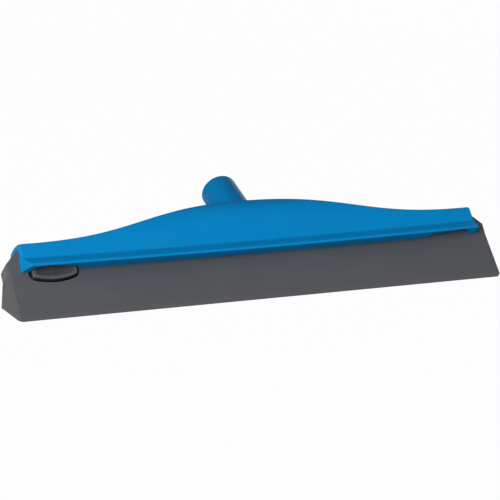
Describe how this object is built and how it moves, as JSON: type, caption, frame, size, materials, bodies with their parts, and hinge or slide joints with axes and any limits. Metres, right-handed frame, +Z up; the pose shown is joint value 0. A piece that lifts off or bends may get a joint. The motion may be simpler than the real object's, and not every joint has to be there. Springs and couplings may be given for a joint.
{
  "type": "squeegee head",
  "caption": "Blue squeegee head with a leaning handle socket and a grey slide-in trough cassette, held by a sprung push button, for wiping wet surfaces and catching the water.",
  "frame": {"origin": "centre of the overall box in plan, on the plane that the trough rim stands on", "axes": "+X along the blade to the right as seen from the front, +Y to the back where the handle socket points, +Z up"},
  "size_m": [0.4, 0.1102, 0.0784],
  "materials": {
    "head_blue": "satin moulded polypropylene",
    "carrier_grey": "satin moulded polypropylene",
    "blade_grey": "matt soft rubber",
    "end_grey": "matt soft rubber",
    "button_dark": "glossy moulded plastic",
    "spring_steel": "stainless leaf"
  },
  "bodies": {
    "head": {"frame": "head_blue"},
    "cassette": {"carrier": "carrier_grey", "front_blade": "blade_grey", "rear_wall": "blade_grey", "left_end_wall": "end_grey", "right_end_wall": "end_grey", "return_spring": "spring_steel"},
    "button": {"lock_button": "button_dark"}
  },
  "joints": [
    {"name": "cassette_slide", "type": "slide", "parent": "head", "child": "cassette", "axis": [-1, 0, 0], "range_m": [0, 0.39]},
    {"name": "button_press", "type": "slide", "parent": "cassette", "child": "button", "axis": [0, 0.8008, -0.5989], "range_m": [0, 0.0037], "stiffness_N_per_m": 600, "springref_m": -0.002, "deforming": ["return_spring"]}
  ]
}
